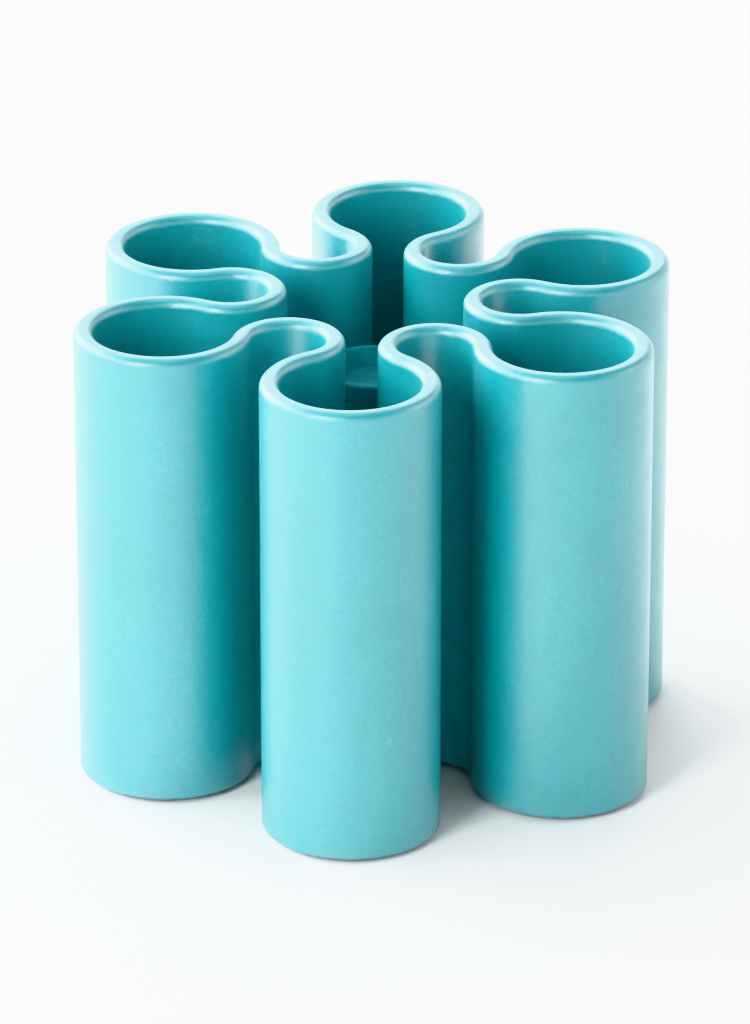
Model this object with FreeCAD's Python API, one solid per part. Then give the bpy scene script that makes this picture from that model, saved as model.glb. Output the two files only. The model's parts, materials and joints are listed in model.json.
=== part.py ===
import FreeCAD, Part

# A compact umbrella stand, in millimetres, +Z up, standing on z = 0 with its axis on the origin.
# One moulded wall winds round six round sockets and dips between them towards the middle, so that
# seen from above it is a six-lobed flower. A seventh place is on top of a post in the middle.
# A steel plate under the moulded floor and a steel bar inside the post are the ballast; one screw
# through the plate and the floor into the bar holds everything together.

import math
import os

# ---- driving dimensions ----
LOBES = 6
FRONT_ANGLE = -90.0        # direction of the first lobe, degrees from +X
HEIGHT = 93.6              # ground to rim
LOBE_PITCH_R = 44.5        # stand's axis to each socket's axis
LOBE_R = 17.3              # outside radius of a lobe
WEB_R = 7.2                # outside radius of the hollow curve between two lobes
WALL = 3.8                 # thickness of the moulded wall
RIM_ROUND = 1.7            # rounding on both edges of the rim
SKIRT_ROUND = 0.9          # rounding on the wall's lower outer edge

# ---- heights of the base, from the ground up ----
SHELL_BOTTOM = 0.8         # the feet lift the wall this far
PLATE_BOTTOM = 1.4
PLATE_TOP = 6.4            # underside of the moulded floor
FLOOR_TOP = 9.6

# ---- ballast plate, feet and screw ----
SKIRT_WALL = 3.2           # thickness of the wall round the plate
PLATE_GAP = 0.4            # between the plate's edge and the wall
PLATE_BEVEL = 0.6
FOOT_R = 7.5
FOOT_TOP = 3.0
FOOT_GAP = 0.15            # between a foot and its recess
FOOT_ROUND = 0.5
SCREW_R = 1.5              # M3, countersunk
SCREW_HEAD_R = 3.0
SCREW_HEAD_DEPTH = 1.5
SCREW_HOLE_R = 1.7
SCREW_TOP = 20.0
SCREW_KEY_ACROSS = 2.0     # across the flats of the hexagon socket
SCREW_KEY_DEPTH = 1.1
COUNTERSINK_GAP = 0.1

# ---- post ----
POST_R = 11.0              # outside of the sleeve
BAR_R = 8.2
BAR_TOP = 69.8
BAR_THREAD_R = 1.55
BAR_THREAD_TOP = 22.0
SLEEVE_BORE_R = 8.4
SLEEVE_TOP = 72.4
SEAT_TOP = 78.0
SEAT_PLUG_BOTTOM = 70.0
SEAT_DISH_FLOOR = 75.2
SEAT_DISH_R = 6.4          # flat bottom of the dish
SEAT_LIP_R = 9.2           # where the dish meets the top
EDGE_BREAK = 0.5           # small bevels and roundings on turned pieces

# ---- rubber cups under the sockets, flush with the floor and resting on the plate ----
CUP_R = 12.4
CUP_GAP = 0.1              # between a cup and its hole
CUP_DISH_FLOOR = 8.2
CUP_DISH_R = 8.4
CUP_LIP_R = 11.2

# ---- values worked out from the above ----
SOCKET_R = LOBE_R - WALL
HALF_STEP = 180.0 / LOBES
WEB_CENTRE_R = LOBE_PITCH_R * math.cos(math.radians(HALF_STEP)) - math.sqrt(
    (LOBE_R + WEB_R) ** 2 - (LOBE_PITCH_R * math.sin(math.radians(HALF_STEP))) ** 2
)
TOLERANCE = 1e-6


def polar(radius, degrees, z=0.0):
    angle = math.radians(degrees)
    return FreeCAD.Vector(radius * math.cos(angle), radius * math.sin(angle), z)


def lobe_angle(index):
    return FRONT_ANGLE + index * 2 * HALF_STEP


def lobe_centre(index, z=0.0):
    return polar(LOBE_PITCH_R, lobe_angle(index), z)


def web_centre(index):
    """Centre of the hollow curve between lobe index and the next one."""
    return polar(WEB_CENTRE_R, lobe_angle(index) + HALF_STEP)


def meeting_point(lobe, web, inset):
    """Where a lobe's arc runs smoothly into a web's arc, on the outline moved inwards by inset."""
    centre = lobe_centre(lobe)
    outwards = (web_centre(web) - centre).normalize()
    return centre + outwards * (LOBE_R - inset)


def lobed_prism(inset, bottom, top):
    """Solid with the stand's six-lobed outline moved inwards by inset."""
    edges = []
    for index in range(LOBES):
        start = meeting_point(index, index - 1, inset)
        crown = polar(LOBE_PITCH_R + LOBE_R - inset, lobe_angle(index))
        end = meeting_point(index, index, inset)
        edges.append(Part.Arc(start, crown, end).toShape())
        hollow = polar(WEB_CENTRE_R - WEB_R - inset, lobe_angle(index) + HALF_STEP)
        following = meeting_point(index + 1, index, inset)
        edges.append(Part.Arc(end, hollow, following).toShape())
    face = Part.Face(Part.Wire(Part.__sortEdges__(edges)))
    face.translate(FreeCAD.Vector(0, 0, bottom))
    return face.extrude(FreeCAD.Vector(0, 0, top - bottom))


def disc(radius, bottom, top, centre=FreeCAD.Vector(0, 0, 0)):
    base = FreeCAD.Vector(centre.x, centre.y, bottom)
    return Part.makeCylinder(radius, top - bottom, base)


def turned(profile):
    """Solid of revolution about Z of a closed profile of (radius, z) points."""
    points = [FreeCAD.Vector(radius, 0, z) for radius, z in profile]
    face = Part.Face(Part.makePolygon(points + points[:1]))
    return face.revolve(FreeCAD.Vector(0, 0, 0), FreeCAD.Vector(0, 0, 1), 360)


def edges_at(shape, z):
    """Edges that lie in the plane at height z."""
    return [
        edge for edge in shape.Edges
        if abs(edge.BoundBox.ZMin - z) + abs(edge.BoundBox.ZMax - z) < TOLERANCE
    ]


def round_edges(shape, z, *radii):
    """Circular edges in the plane at height z that have one of these radii."""
    return [
        edge for edge in edges_at(shape, z)
        if any(abs(edge.Curve.Radius - radius) < TOLERANCE for radius in radii)
    ]


def lobed_shell():
    """The wall and floor, one moulding, with a recess underneath for the ballast plate."""
    shell = lobed_prism(0, SHELL_BOTTOM, HEIGHT)
    shell = shell.cut(lobed_prism(WALL, FLOOR_TOP, HEIGHT))
    shell = shell.cut(lobed_prism(SKIRT_WALL, SHELL_BOTTOM, PLATE_TOP))
    shell = shell.cut(disc(SCREW_HOLE_R, PLATE_TOP, FLOOR_TOP))
    for index in range(LOBES):
        shell = shell.cut(disc(CUP_R + CUP_GAP, PLATE_TOP, FLOOR_TOP, lobe_centre(index)))
    shell = shell.makeFillet(RIM_ROUND, edges_at(shell, HEIGHT))
    return shell.makeFillet(SKIRT_ROUND, round_edges(shell, SHELL_BOTTOM, LOBE_R, WEB_R))


def ballast_plate():
    """Lobed steel plate under the floor, with a recess for each foot and a countersunk hole."""
    plate = lobed_prism(SKIRT_WALL + PLATE_GAP, PLATE_BOTTOM, PLATE_TOP)
    plate = plate.makeChamfer(PLATE_BEVEL, edges_at(plate, PLATE_BOTTOM))
    for index in range(LOBES):
        plate = plate.cut(disc(FOOT_R + FOOT_GAP, PLATE_BOTTOM, FOOT_TOP, lobe_centre(index)))
    sink_r = SCREW_HEAD_R + COUNTERSINK_GAP
    sink_depth = SCREW_HEAD_DEPTH * (sink_r - SCREW_HOLE_R) / (SCREW_HEAD_R - SCREW_R)
    hole = turned([
        (0, PLATE_BOTTOM),
        (sink_r, PLATE_BOTTOM),
        (SCREW_HOLE_R, PLATE_BOTTOM + sink_depth),
        (SCREW_HOLE_R, PLATE_TOP),
        (0, PLATE_TOP),
    ])
    return plate.cut(hole)


def centre_screw():
    """Countersunk socket screw, its head flush with the underside of the plate."""
    screw = turned([
        (0, PLATE_BOTTOM),
        (SCREW_HEAD_R, PLATE_BOTTOM),
        (SCREW_R, PLATE_BOTTOM + SCREW_HEAD_DEPTH),
        (SCREW_R, SCREW_TOP - EDGE_BREAK),
        (SCREW_R - EDGE_BREAK, SCREW_TOP),
        (0, SCREW_TOP),
    ])
    corner_r = SCREW_KEY_ACROSS / math.sqrt(3)
    corners = [polar(corner_r, 60.0 * index, PLATE_BOTTOM) for index in range(6)]
    key = Part.Face(Part.makePolygon(corners + corners[:1]))
    return screw.cut(key.extrude(FreeCAD.Vector(0, 0, SCREW_KEY_DEPTH)))


def post_bar():
    """Steel bar that the screw pulls down onto the floor; it is the ballast inside the post."""
    bar = disc(BAR_R, FLOOR_TOP, BAR_TOP)
    bar = bar.makeChamfer(EDGE_BREAK, edges_at(bar, BAR_TOP))
    return bar.cut(disc(BAR_THREAD_R, FLOOR_TOP, BAR_THREAD_TOP))


def post_sleeve():
    """Moulded sleeve over the bar, in the colour of the shell."""
    sleeve = disc(POST_R, FLOOR_TOP, SLEEVE_TOP)
    return sleeve.cut(disc(SLEEVE_BORE_R, FLOOR_TOP, SLEEVE_TOP))


def post_seat():
    """Rubber cap with a dish for the tip of the umbrella in the middle, plugged into the sleeve."""
    seat = turned([
        (0, SEAT_PLUG_BOTTOM),
        (BAR_R, SEAT_PLUG_BOTTOM),
        (BAR_R, SLEEVE_TOP),
        (POST_R, SLEEVE_TOP),
        (POST_R, SEAT_TOP),
        (SEAT_LIP_R, SEAT_TOP),
        (SEAT_DISH_R, SEAT_DISH_FLOOR),
        (0, SEAT_DISH_FLOOR),
    ])
    return seat.makeFillet(EDGE_BREAK, round_edges(seat, SEAT_TOP, POST_R))


def tip_cup(index):
    """Rubber cup in the floor of a socket: it centres a wet tip and catches the drips."""
    cup = turned([
        (0, PLATE_TOP),
        (CUP_R, PLATE_TOP),
        (CUP_R, FLOOR_TOP),
        (CUP_LIP_R, FLOOR_TOP),
        (CUP_DISH_R, CUP_DISH_FLOOR),
        (0, CUP_DISH_FLOOR),
    ])
    cup.translate(lobe_centre(index))
    return cup


def foot_pad(index):
    """Rubber foot glued into its recess in the plate."""
    pad = disc(FOOT_R, 0, FOOT_TOP)
    pad = pad.makeFillet(FOOT_ROUND, edges_at(pad, 0))
    pad.translate(lobe_centre(index))
    return pad


def sub_parts():
    parts = {
        "lobed_shell": lobed_shell(),
        "ballast_plate": ballast_plate(),
        "centre_screw": centre_screw(),
        "post_bar": post_bar(),
        "post_sleeve": post_sleeve(),
        "post_seat": post_seat(),
    }
    for index in range(LOBES):
        parts[f"tip_cup_{index + 1}"] = tip_cup(index)
        parts[f"foot_pad_{index + 1}"] = foot_pad(index)
    return parts


def main():
    os.makedirs("parts", exist_ok=True)
    for node, shape in sub_parts().items():
        if not shape.isValid() or len(shape.Solids) != 1:
            raise SystemExit(f"{node} is not one valid solid")
        shape.exportStep(f"parts/{node}.step")
        box = shape.BoundBox
        print(f"{node}: {shape.Volume / 1000:.2f} cm3, z {box.ZMin:.2f} to {box.ZMax:.2f}")


main()
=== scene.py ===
import json
import math

import bmesh
import bpy
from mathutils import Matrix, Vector


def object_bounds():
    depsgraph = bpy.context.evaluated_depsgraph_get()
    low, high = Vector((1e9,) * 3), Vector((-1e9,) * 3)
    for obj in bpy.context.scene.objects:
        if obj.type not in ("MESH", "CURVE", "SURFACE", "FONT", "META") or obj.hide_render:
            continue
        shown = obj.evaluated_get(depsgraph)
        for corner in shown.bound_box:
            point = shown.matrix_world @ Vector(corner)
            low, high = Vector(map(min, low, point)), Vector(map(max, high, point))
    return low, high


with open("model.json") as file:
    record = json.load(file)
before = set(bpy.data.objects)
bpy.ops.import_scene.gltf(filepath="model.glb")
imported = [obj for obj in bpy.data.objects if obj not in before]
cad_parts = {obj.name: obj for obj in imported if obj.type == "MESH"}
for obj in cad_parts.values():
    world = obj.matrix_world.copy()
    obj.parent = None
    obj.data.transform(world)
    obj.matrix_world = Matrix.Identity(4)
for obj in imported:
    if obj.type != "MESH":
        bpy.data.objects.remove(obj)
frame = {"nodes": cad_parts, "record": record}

# Umbrella stand: a teal moulded wall with its floor, a post with a rubber seat, rubber cups and
# feet, and a steel plate, bar and screw. Every shape comes from the frame. This script adds the
# materials, the floor, the lights and the camera. All lengths are in metres unless a name says mm.

CAD_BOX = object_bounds()
CENTRE = (CAD_BOX[0] + CAD_BOX[1]) / 2

# ---- camera: above the stand and a little to the right of its front lobe ----
VIEW_AZIMUTH = 6.0          # degrees to the right of straight in front
VIEW_ELEVATION = 23.8       # degrees above the horizon
VIEW_DISTANCE = 1.40
LENS_MM = 250.0

# ---- stage ----
FLOOR_HALF = 4.0
FLOOR_TILES = 8
GLOW_FROM_MM, GLOW_FULL_MM = 500.0, 1900.0   # out from the stand's middle
GLOW_STRENGTH = 1.40                         # hides the floor's far edge in the surround

# ---- soft boxes: name, degrees round from straight in front, degrees up, size, power in watts ----
LIGHTS = (
    ("left_front", -30.0, 28.0, (0.35, 0.70), 13.0),
    ("left", -84.0, 30.0, (0.90, 0.70), 15.0),
    ("left_back", -124.0, 25.0, (0.80, 0.90), 32.0),
    ("back", 186.0, 40.0, (0.90, 0.90), 8.0),
    ("right", 101.0, 32.0, (0.80, 0.80), 4.0),
    ("top", 0.0, 88.0, (0.50, 0.50), 2.0),
)
LIGHT_DISTANCE = 1.20

# ---- the surround: bright low down, like a white sweep, and dim overhead ----
LOW_SKY, HIGH_SKY = 1.80, 0.22
LOW_SKY_ENDS, HIGH_SKY_STARTS = 0.25, 0.60   # sines of the angle above the horizon

# ---- heights on the stand ----
MM = 1000.0                 # millimetres in a metre
WALL_DUST_FROM_MM, WALL_DUST_FULL_MM = 5.0, 0.6   # dust thickens downwards between these
FOOT_DUST_FROM_MM, FOOT_DUST_FULL_MM = 1.6, 0.1
RIM_POLISH_MM = 9.0         # umbrellas rub the wall this far down from the rim

# ---- node settings ----
BEVEL_SAMPLES = 4
MIX_AMOUNT, MIX_FIRST, MIX_SECOND, MIX_RESULT = 0, 6, 7, 2   # a Mix node's sockets for colours

# ---- colours, linear RGB ----
TEAL = (0.001, 0.222, 0.257)
TEAL_CLOUD = (0.002, 0.250, 0.286)
TEAL_FLOW = (0.003, 0.264, 0.298)
TEAL_PIGMENT = (0.001, 0.180, 0.216)
TEAL_SCUFF = (0.060, 0.400, 0.430)
TEAL_WORN = (0.040, 0.360, 0.390)
WALL_DUST = (0.170, 0.240, 0.240)
RUBBER_TEAL = (0.002, 0.150, 0.175)
RUBBER_BLOOM = (0.005, 0.195, 0.220)
RUBBER_SPECK = (0.012, 0.250, 0.275)
RUBBER_TIDE = (0.080, 0.270, 0.285)
FOOT_BLACK = (0.010, 0.010, 0.011)
FOOT_FADED = (0.022, 0.022, 0.024)
FOOT_DUST = (0.200, 0.190, 0.175)
ZINC_BLUE = (0.560, 0.570, 0.600)
ZINC_YELLOW = (0.620, 0.605, 0.570)
ZINC_SPANGLE = (0.500, 0.515, 0.540)
ZINC_BLOOM = (0.720, 0.720, 0.700)
BAR_DARK = (0.480, 0.475, 0.465)
BAR_LIGHT = (0.560, 0.555, 0.545)
BAR_STAIN = (0.330, 0.290, 0.240)
SCREW_DARK = (0.200, 0.210, 0.225)
SCREW_LIGHT = (0.300, 0.305, 0.310)
SCREW_BARE = (0.600, 0.600, 0.590)
PAINT_DARK = (0.835, 0.835, 0.832)
PAINT_LIGHT = (0.850, 0.850, 0.848)
WHITE = (1.0, 1.0, 1.0)


class Shader:
    """A material's node tree, with short calls for the nodes that every material here uses."""

    def __init__(self, name):
        self.material = bpy.data.materials.new(name)
        self.material.use_nodes = True
        self.tree = self.material.node_tree
        self.tree.nodes.clear()
        self.surface = self.add("ShaderNodeBsdfPrincipled")
        output = self.add("ShaderNodeOutputMaterial")
        self.tree.links.new(self.surface.outputs["BSDF"], output.inputs["Surface"])
        self.coordinates = self.add("ShaderNodeTexCoord")
        self.mm = self.scaled(self.coordinates.outputs["Object"], (MM, MM, MM))

    def add(self, kind, **settings):
        node = self.tree.nodes.new(kind)
        for key, value in settings.items():
            setattr(node, key, value)
        return node

    def feed(self, socket, value):
        """Links an output to the socket, or sets a plain value on it."""
        if isinstance(value, bpy.types.NodeSocket):
            self.tree.links.new(value, socket)
        else:
            socket.default_value = value

    def scaled(self, vector, factors):
        node = self.add("ShaderNodeVectorMath", operation="MULTIPLY")
        self.feed(node.inputs[0], vector)
        node.inputs[1].default_value = factors
        return node.outputs["Vector"]

    def height_mm(self):
        split = self.add("ShaderNodeSeparateXYZ")
        self.feed(split.inputs["Vector"], self.mm)
        return split.outputs["Z"]

    def math(self, operation, first, second=0.0, clamp=False):
        node = self.add("ShaderNodeMath", operation=operation, use_clamp=clamp)
        self.feed(node.inputs[0], first)
        self.feed(node.inputs[1], second)
        return node.outputs["Value"]

    def times(self, first, second):
        return self.math("MULTIPLY", first, second)

    def plus(self, value, mask, strength):
        """Adds the mask, scaled by strength, to the value."""
        return self.math("ADD", value, self.times(mask, strength))

    def noise(self, size_mm, detail=2.0, roughness=0.5, distortion=0.0, stretch=(1, 1, 1)):
        """Noise from 0 to 1, in blotches about size_mm across, longer where stretch is under 1."""
        node = self.add("ShaderNodeTexNoise")
        self.feed(node.inputs["Vector"], self.scaled(self.mm, stretch))
        node.inputs["Scale"].default_value = 1.0 / size_mm
        node.inputs["Detail"].default_value = detail
        node.inputs["Roughness"].default_value = roughness
        node.inputs["Distortion"].default_value = distortion
        return node.outputs["Fac"]

    def cells(self, size_mm):
        """Distance from the middles of cells about size_mm across."""
        node = self.add("ShaderNodeTexVoronoi")
        self.feed(node.inputs["Vector"], self.mm)
        node.inputs["Scale"].default_value = 1.0 / size_mm
        return node.outputs["Distance"]

    def remap(self, value, low, high, to_low=0.0, to_high=1.0):
        """A smooth step from to_low to to_high as the value goes from low to high."""
        node = self.add("ShaderNodeMapRange", interpolation_type="SMOOTHSTEP")
        self.feed(node.inputs["Value"], value)
        node.inputs["From Min"].default_value = low
        node.inputs["From Max"].default_value = high
        node.inputs["To Min"].default_value = to_low
        node.inputs["To Max"].default_value = to_high
        return node.outputs["Result"]

    def mix(self, amount, first, second):
        node = self.add("ShaderNodeMix", data_type="RGBA")
        self.feed(node.inputs[MIX_AMOUNT], amount)
        for index, colour in ((MIX_FIRST, first), (MIX_SECOND, second)):
            plain = isinstance(colour, tuple)
            self.feed(node.inputs[index], (*colour, 1.0) if plain else colour)
        return node.outputs[MIX_RESULT]

    def tint(self, colour, mask, strength, towards):
        """Moves the colour towards another where the mask is, by strength at most."""
        return self.mix(self.times(mask, strength), colour, towards)

    def wisps(self, size_mm, width, stretch):
        """Thin wandering lines, where stretched noise crosses its middle value."""
        off_middle = self.math("SUBTRACT", self.noise(size_mm, detail=3.0, stretch=stretch), 0.5)
        return self.remap(self.math("ABSOLUTE", off_middle), width, 0.0)

    def edges(self, radius_mm):
        """Above 0 within radius_mm of a sharp edge: how far a rounded normal turns away there."""
        rounded = self.add("ShaderNodeBevel", samples=BEVEL_SAMPLES)
        rounded.inputs["Radius"].default_value = radius_mm / MM
        geometry = self.add("ShaderNodeNewGeometry")
        dot = self.add("ShaderNodeVectorMath", operation="DOT_PRODUCT")
        self.feed(dot.inputs[0], rounded.outputs["Normal"])
        self.feed(dot.inputs[1], geometry.outputs["Normal"])
        return self.math("SUBTRACT", 1.0, dot.outputs["Value"], clamp=True)

    def bumps(self, *layers):
        """Stacks bump layers, each (height, depth in mm), and feeds the surface's normal."""
        normal = None
        for height, depth_mm in layers:
            node = self.add("ShaderNodeBump")
            node.inputs["Strength"].default_value = 1.0
            node.inputs["Distance"].default_value = depth_mm / MM
            self.feed(node.inputs["Height"], height)
            if normal is not None:
                self.feed(node.inputs["Normal"], normal)
            normal = node.outputs["Normal"]
        self.feed(self.surface.inputs["Normal"], normal)

    def set(self, **values):
        """Sets or links the surface's sockets; an underscore in a name stands for a space, and a
        tuple is a colour."""
        for name, value in values.items():
            socket = self.surface.inputs[name.replace("_", " ")]
            self.feed(socket, (*value, 1.0) if isinstance(value, tuple) else value)


def teal_moulding():
    """Satin moulded plastic: a little cloudy in colour, spark-eroded grain, faint ripple in the
    gloss, the rim polished by umbrellas, fine scuffs here and there, and dust at the foot."""
    s = Shader("teal_moulding")
    height = s.height_mm()
    rim = CAD_BOX[1].z * MM

    cloud = s.remap(s.noise(22.0, detail=3.0, distortion=0.4), 0.3, 0.7)
    flow = s.remap(s.noise(9.0, detail=4.0, stretch=(1.0, 1.0, 0.25)), 0.35, 0.7)
    pigment = s.remap(s.noise(0.80, detail=3.0, roughness=0.6), 0.40, 0.64)
    grain = s.noise(0.55, detail=3.0, roughness=0.6)
    peel = s.noise(1.6, detail=2.0)
    ripple = s.noise(7.0, detail=1.0)

    near_foot = s.remap(height, WALL_DUST_FROM_MM, WALL_DUST_FULL_MM)
    patchy = s.remap(s.noise(3.0, detail=5.0, roughness=0.65), 0.42, 0.66)
    grime = s.times(near_foot, patchy)

    near_rim = s.remap(height, rim - RIM_POLISH_MM, rim)
    rubbed = s.times(near_rim, s.remap(s.noise(5.0, detail=3.0), 0.3, 0.75))

    # fine scuffs: broken wisps drawn out upwards by umbrellas, and round the wall by hands
    drawn_up = s.wisps(5.0, 0.010, (1.0, 1.0, 0.12))
    drawn_round = s.wisps(4.0, 0.008, (0.30, 0.30, 1.3))
    broken = s.remap(s.noise(6.0, detail=4.0, roughness=0.6), 0.50, 0.62)
    where = s.remap(s.noise(20.0, detail=2.0), 0.42, 0.60)
    scuffs = s.times(s.math("MAXIMUM", drawn_up, drawn_round), s.times(broken, where))

    worn = s.times(s.remap(s.edges(0.9), 0.02, 0.35),
                   s.remap(s.noise(2.2, detail=4.0, roughness=0.6), 0.40, 0.68))

    colour = s.mix(cloud, TEAL, TEAL_CLOUD)
    colour = s.tint(colour, flow, 0.35, TEAL_FLOW)
    colour = s.tint(colour, pigment, 0.38, TEAL_PIGMENT)
    colour = s.tint(colour, scuffs, 0.40, TEAL_SCUFF)
    colour = s.tint(colour, worn, 0.40, TEAL_WORN)
    colour = s.tint(colour, grime, 0.30, WALL_DUST)

    rough = s.remap(s.noise(4.5, detail=4.0, roughness=0.55), 0.3, 0.7, to_low=0.36, to_high=0.46)
    rough = s.plus(rough, grain, 0.06)
    rough = s.plus(rough, grime, 0.25)
    rough = s.plus(rough, scuffs, 0.12)
    rough = s.plus(rough, rubbed, -0.09)

    s.bumps((ripple, 0.05), (peel, 0.045), (grain, 0.032), (scuffs, -0.012))
    s.set(Base_Color=colour, Roughness=rough, IOR=1.80, Coat_Weight=1.0, Coat_Roughness=0.40)
    return s.material


def teal_rubber():
    """Matt moulded rubber, darker than the wall: fine open grain, a dull bloom, and tide marks
    left by drips."""
    s = Shader("teal_rubber")
    bloom = s.remap(s.noise(4.0, detail=5.0, roughness=0.6), 0.42, 0.70)
    speckle = s.remap(s.cells(0.7), 0.10, 0.0)
    grain = s.noise(0.30, detail=3.0, roughness=0.7)

    # rings round the middle of each cup and of the seat, uneven as dried water leaves them
    from_middle = s.add("ShaderNodeVectorMath", operation="DISTANCE")
    s.feed(from_middle.inputs[0], s.scaled(s.coordinates.outputs["Generated"], (1.0, 1.0, 0.0)))
    s.feed(from_middle.inputs[1], (0.5, 0.5, 0.0))
    radius = s.plus(from_middle.outputs["Value"], s.noise(3.5, detail=3.0), 0.10)
    rings = s.math("PINGPONG", s.times(radius, 9.0), 0.5)
    tide = s.times(s.remap(rings, 0.44, 0.5), s.remap(s.noise(2.5, detail=2.0), 0.45, 0.65))

    colour = s.mix(bloom, RUBBER_TEAL, RUBBER_BLOOM)
    colour = s.tint(colour, speckle, 0.25, RUBBER_SPECK)
    colour = s.tint(colour, tide, 0.25, RUBBER_TIDE)
    rough = s.plus(s.remap(bloom, 0.0, 1.0, to_low=0.74, to_high=0.88), tide, -0.12)
    s.bumps((s.noise(2.4, detail=2.0), 0.05), (grain, 0.035))
    s.set(Base_Color=colour, Roughness=rough, IOR=1.45, Specular_IOR_Level=0.25)
    return s.material


def black_rubber():
    """Rubber of the feet: near black, grainy, with floor dust round the lower edge."""
    s = Shader("black_rubber")
    grain = s.noise(0.35, detail=4.0, roughness=0.7)
    faded = s.remap(s.noise(3.0, detail=3.0), 0.3, 0.7)
    dust = s.times(s.remap(s.height_mm(), FOOT_DUST_FROM_MM, FOOT_DUST_FULL_MM),
                   s.remap(s.noise(1.4, detail=5.0, roughness=0.65), 0.38, 0.66))
    colour = s.tint(s.mix(faded, FOOT_BLACK, FOOT_FADED), dust, 0.55, FOOT_DUST)
    rough = s.plus(s.remap(grain, 0.3, 0.7, to_low=0.66, to_high=0.80), dust, 0.12)
    s.bumps((s.noise(1.8, detail=2.0), 0.05), (grain, 0.04))
    s.set(Base_Color=colour, Roughness=rough, IOR=1.52)
    return s.material


def zinc_steel():
    """Zinc-plated rolled plate: brushed along X, cloudy, with a dull white bloom at its edges."""
    s = Shader("zinc_steel")
    brushed = s.noise(0.22, detail=3.0, roughness=0.6, stretch=(0.03, 1.0, 1.0))
    passivation = s.remap(s.noise(11.0, detail=3.0, distortion=0.8), 0.32, 0.68)
    spangle = s.remap(s.cells(6.0), 0.05, 0.55)
    bloom = s.times(s.remap(s.edges(0.8), 0.03, 0.4),
                    s.remap(s.noise(1.6, detail=5.0, roughness=0.65), 0.40, 0.66))
    colour = s.mix(passivation, ZINC_BLUE, ZINC_YELLOW)
    colour = s.tint(colour, spangle, 0.25, ZINC_SPANGLE)
    colour = s.tint(colour, bloom, 0.50, ZINC_BLOOM)
    rough = s.plus(s.remap(brushed, 0.3, 0.7, to_low=0.26, to_high=0.40), bloom, 0.25)
    s.bumps((brushed, 0.012), (s.noise(5.0, detail=1.0), 0.03))
    s.set(Base_Color=colour, Roughness=rough, Metallic=1.0, Anisotropic=0.4)
    return s.material


def bar_steel():
    """Turned bar: fine tool rings up its side, with drawn-out stains from handling."""
    s = Shader("bar_steel")
    rings = s.noise(0.16, detail=2.0, stretch=(0.05, 0.05, 1.0))
    stain = s.remap(s.noise(6.0, detail=4.0, roughness=0.6), 0.45, 0.72)
    colour = s.mix(s.remap(rings, 0.3, 0.7), BAR_DARK, BAR_LIGHT)
    colour = s.tint(colour, stain, 0.35, BAR_STAIN)
    rough = s.plus(s.remap(rings, 0.3, 0.7, to_low=0.24, to_high=0.36), stain, 0.18)
    s.bumps((rings, 0.012), (s.noise(3.0, detail=2.0), 0.02))
    s.set(Base_Color=colour, Roughness=rough, Metallic=1.0)
    return s.material


def screw_steel():
    """Plated screw: darker than the plate, bright where a key has rubbed its edges."""
    s = Shader("screw_steel")
    mottled = s.remap(s.noise(1.2, detail=4.0, roughness=0.6), 0.35, 0.70)
    bare = s.times(s.remap(s.edges(0.35), 0.03, 0.35),
                   s.remap(s.noise(0.6, detail=3.0), 0.35, 0.65))
    colour = s.tint(s.mix(mottled, SCREW_DARK, SCREW_LIGHT), bare, 0.75, SCREW_BARE)
    rough = s.remap(mottled, 0.0, 1.0, to_low=0.28, to_high=0.46)
    s.bumps((s.noise(0.25, detail=2.0), 0.010))
    s.set(Base_Color=colour, Roughness=rough, Metallic=1.0)
    return s.material


MATERIALS = {
    "teal_moulding": teal_moulding,
    "teal_rubber": teal_rubber,
    "black_rubber": black_rubber,
    "zinc_steel": zinc_steel,
    "bar_steel": bar_steel,
    "screw_steel": screw_steel,
}


def dress_nodes():
    """Gives every CAD node the finish of its slot in the record."""
    made = {slot: make() for slot, make in MATERIALS.items()}
    for row in frame["record"]["subparts"]:
        node = frame["nodes"][row["node"]]
        node.data.materials.clear()
        node.data.materials.append(made[row["material_slot"]])


def pale_floor():
    """A plain pale matt floor with the faintest unevenness, which glows far from the stand."""
    mesh = bpy.data.meshes.new("floor")
    shape = bmesh.new()
    bmesh.ops.create_grid(shape, x_segments=FLOOR_TILES, y_segments=FLOOR_TILES, size=FLOOR_HALF)
    shape.to_mesh(mesh)
    shape.free()
    floor = bpy.data.objects.new("floor", mesh)
    bpy.context.scene.collection.objects.link(floor)

    s = Shader("pale_floor")
    paint = s.remap(s.noise(140.0, detail=3.0), 0.3, 0.7)
    distance = s.add("ShaderNodeVectorMath", operation="LENGTH")
    s.feed(distance.inputs[0], s.mm)
    glow = s.remap(distance.outputs["Value"], GLOW_FROM_MM, GLOW_FULL_MM, to_high=GLOW_STRENGTH)
    s.set(Base_Color=s.mix(paint, PAINT_DARK, PAINT_LIGHT), Roughness=0.62)
    s.set(Emission_Color=WHITE, Emission_Strength=glow)
    s.bumps((s.noise(1.6, detail=3.0), 0.02))
    mesh.materials.append(s.material)


def direction(turn, lift):
    """From the stand towards a place turned round from straight in front and lifted, in degrees."""
    turn, lift = math.radians(turn), math.radians(lift)
    reach = math.cos(lift)
    return Vector((math.sin(turn) * reach, -math.cos(turn) * reach, math.sin(lift)))


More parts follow.
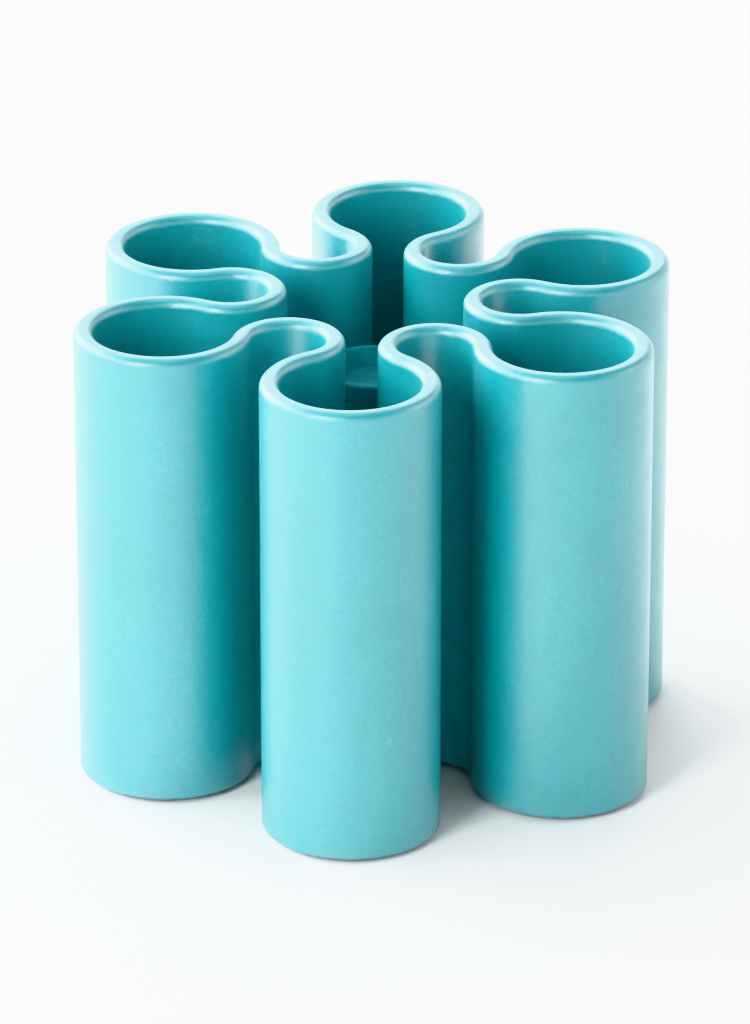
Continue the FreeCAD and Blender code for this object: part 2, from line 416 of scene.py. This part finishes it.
def soft_lights():
    """Soft boxes, brightest at the left and behind, which give the wall its broad pale sheen."""
    for name, turn, lift, size, power in LIGHTS:
        data = bpy.data.lights.new(name, "AREA")
        data.shape = "RECTANGLE"
        data.size, data.size_y = size
        data.energy = power
        lamp = bpy.data.objects.new(name, data)
        lamp.visible_camera = False
        bpy.context.scene.collection.objects.link(lamp)
        towards = direction(turn, lift)
        lamp.location = CENTRE + towards * LIGHT_DISTANCE
        lamp.rotation_euler = towards.to_track_quat("Z", "Y").to_euler()


def pale_sky():
    """A white surround, bright low down so that the floor's far edge is lost in it."""
    world = bpy.data.worlds.new("studio")
    world.use_nodes = True
    tree = world.node_tree
    backdrop = tree.nodes["Background"]
    coordinates = tree.nodes.new("ShaderNodeTexCoord")
    split = tree.nodes.new("ShaderNodeSeparateXYZ")
    rise = tree.nodes.new("ShaderNodeMapRange")
    rise.interpolation_type = "SMOOTHSTEP"
    rise.inputs["From Min"].default_value = LOW_SKY_ENDS
    rise.inputs["From Max"].default_value = HIGH_SKY_STARTS
    rise.inputs["To Min"].default_value = LOW_SKY
    rise.inputs["To Max"].default_value = HIGH_SKY
    tree.links.new(coordinates.outputs["Generated"], split.inputs["Vector"])
    tree.links.new(split.outputs["Z"], rise.inputs["Value"])
    tree.links.new(rise.outputs["Result"], backdrop.inputs["Strength"])
    backdrop.inputs["Color"].default_value = (*WHITE, 1.0)
    bpy.context.scene.world = world


def camera():
    """Looks at the stand's middle from the photo's direction."""
    data = bpy.data.cameras.new("camera")
    data.lens = LENS_MM
    view = bpy.data.objects.new("camera", data)
    bpy.context.scene.collection.objects.link(view)
    back = direction(VIEW_AZIMUTH, VIEW_ELEVATION)
    view.location = CENTRE + back * VIEW_DISTANCE
    view.rotation_euler = back.to_track_quat("Z", "Y").to_euler()
    bpy.context.scene.camera = view


def plain_colours():
    """Keeps the teal clean, and lets strong light fade to white rather than to a harsh cyan."""
    bpy.context.scene.view_settings.view_transform = "Khronos PBR Neutral"


dress_nodes()
pale_floor()
soft_lights()
pale_sky()
camera()
plain_colours()
